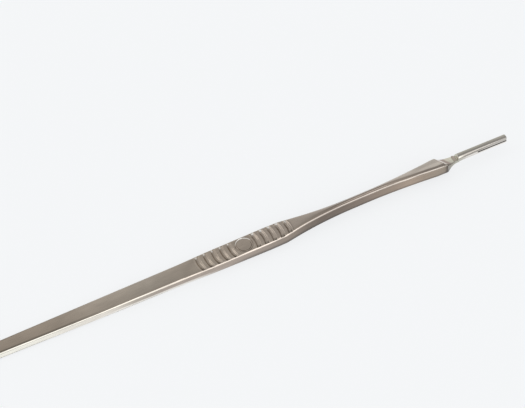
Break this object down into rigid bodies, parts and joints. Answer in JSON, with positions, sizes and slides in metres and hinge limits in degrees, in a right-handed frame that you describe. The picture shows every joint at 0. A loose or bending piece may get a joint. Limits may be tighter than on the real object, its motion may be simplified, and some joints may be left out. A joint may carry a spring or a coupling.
{
  "type": "scalpel handle",
  "caption": "Long slim scalpel handle with a fluted finger grip, thin waist and a grooved tongue that holds a push-on blade.",
  "frame": {"origin": "below the middle of the whole length, on the plane of the flat back", "axes": "+X from the tail end to the tongue tip, +Y across the width, +Z from the flat back to the fluted face"},
  "size_m": [0.209, 0.0068, 0.0053],
  "materials": {
    "steel": "satin forged stainless steel with polished edges"
  },
  "bodies": {
    "root": {"handle": "steel"}
  },
  "joints": []
}
